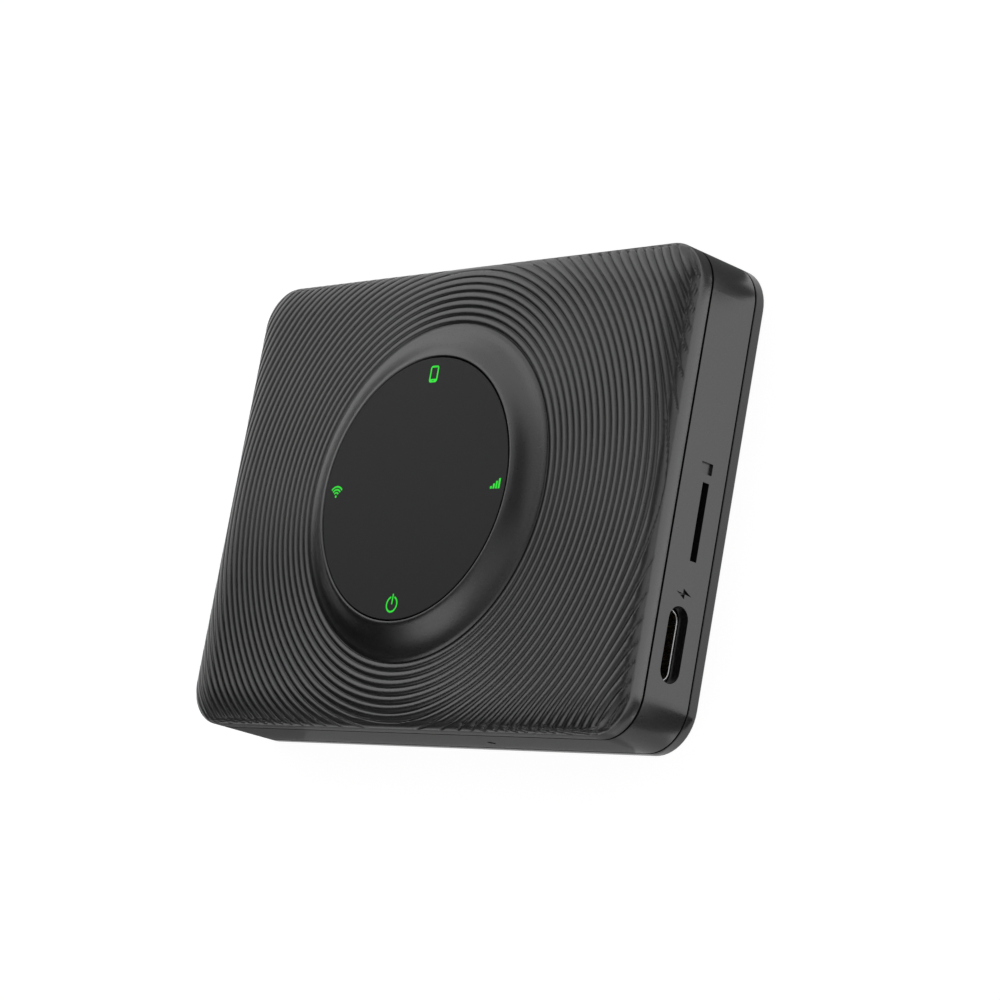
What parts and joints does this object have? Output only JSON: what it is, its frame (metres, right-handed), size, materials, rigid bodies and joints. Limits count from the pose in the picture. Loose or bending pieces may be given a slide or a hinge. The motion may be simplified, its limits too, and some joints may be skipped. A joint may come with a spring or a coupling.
{
  "type": "mobile hotspot",
  "caption": "Pocket mobile hotspot: matt black three-part case with rippled front, raised round power key with lit icons, USB-C port, SIM slot, reset hole and full inner parts.",
  "frame": {"origin": "Centre of the flat back face that the hotspot lies on.", "axes": "+Z leaves the front face with the round key, +X leaves the side with the USB-C port and the SIM slot, +Y leaves the edge nearest the phone icon."},
  "size_m": [0.0816, 0.06, 0.0148],
  "materials": {
    "case_plastic": "fine matt, moulded",
    "smoked_plastic": "matt smoked, slightly smoother than the case",
    "lit_icon": "translucent, lit green from behind",
    "inner_plastic": "plain moulded",
    "clear_plastic": "milky translucent",
    "black_plastic": "moulded",
    "lamp_body": "moulded with a phosphor face",
    "circuit_board": "solder mask",
    "steel": "zinc plated",
    "stainless": "rolled sheet",
    "gold": "gold plated spring copper",
    "ceramic_tan": "fired",
    "ferrite": "moulded ferrite",
    "pouch_foil": "laminated foil pouch",
    "foam": "double-sided adhesive",
    "wire_red": "insulated wire",
    "amber_film": "polyimide film",
    "graphite": "graphite sheet"
  },
  "bodies": {
    "case": {"front_shell": "case_plastic", "mid_frame": "case_plastic", "back_cover": "case_plastic", "case_screws": "steel", "key_board_screws": "steel", "key_board": "circuit_board", "key_lamps": "lamp_body", "key_switch": "black_plastic", "main_board": "circuit_board", "usb_shell": "stainless", "usb_insulator": "black_plastic", "usb_contacts": "gold", "sim_base": "black_plastic", "sim_cover": "stainless", "sim_contacts": "gold", "sim_spring": "stainless", "reset_switch": "stainless", "modem_shield": "stainless", "radio_shield": "stainless", "modem_chip": "black_plastic", "radio_chip": "black_plastic", "memory_chip": "black_plastic", "power_chip": "black_plastic", "capacitors": "ceramic_tan", "inductors": "ferrite", "battery": "pouch_foil", "battery_tape": "foam", "battery_circuit": "circuit_board", "battery_socket": "inner_plastic", "battery_plug": "inner_plastic", "battery_leads": "wire_red", "ribbon_cable": "amber_film", "ribbon_clamp": "inner_plastic", "cell_antenna_main": "amber_film", "cell_antenna_second": "amber_film", "wifi_antenna_upper": "amber_film", "wifi_antenna_lower": "amber_film", "antenna_contacts": "gold", "heat_spreader": "graphite"},
    "power_key": {"key_cap": "smoked_plastic", "phone_icon": "lit_icon", "power_icon": "lit_icon", "wifi_icon": "lit_icon", "signal_icon": "lit_icon", "key_carrier": "inner_plastic", "light_guides": "clear_plastic"},
    "key_plunger": {"key_plunger": "inner_plastic"},
    "sim_slider": {"sim_slider": "inner_plastic"},
    "reset_plunger": {"reset_plunger": "inner_plastic"}
  },
  "joints": [
    {"name": "power_key_press", "type": "slide", "parent": "case", "child": "power_key", "axis": [0, 0, -1], "range_m": [0, 0.0004], "stiffness_N_per_m": 400, "springref_m": -0.0005},
    {"name": "key_plunger_press", "type": "slide", "parent": "case", "child": "key_plunger", "axis": [0, 0, -1], "range_m": [0, 0.0004]},
    {"name": "sim_eject", "type": "slide", "parent": "case", "child": "sim_slider", "axis": [-1, 0, 0], "range_m": [0, 0.0012], "stiffness_N_per_m": 300, "springref_m": -0.001, "deforming": ["sim_spring"]},
    {"name": "reset_press", "type": "slide", "parent": "case", "child": "reset_plunger", "axis": [0, 1, 0], "range_m": [0, 0.00025], "stiffness_N_per_m": 800, "springref_m": -0.0004}
  ],
  "couplings": [
    {"joint": "key_plunger_press", "follows": "power_key_press", "ratio": 1}
  ]
}
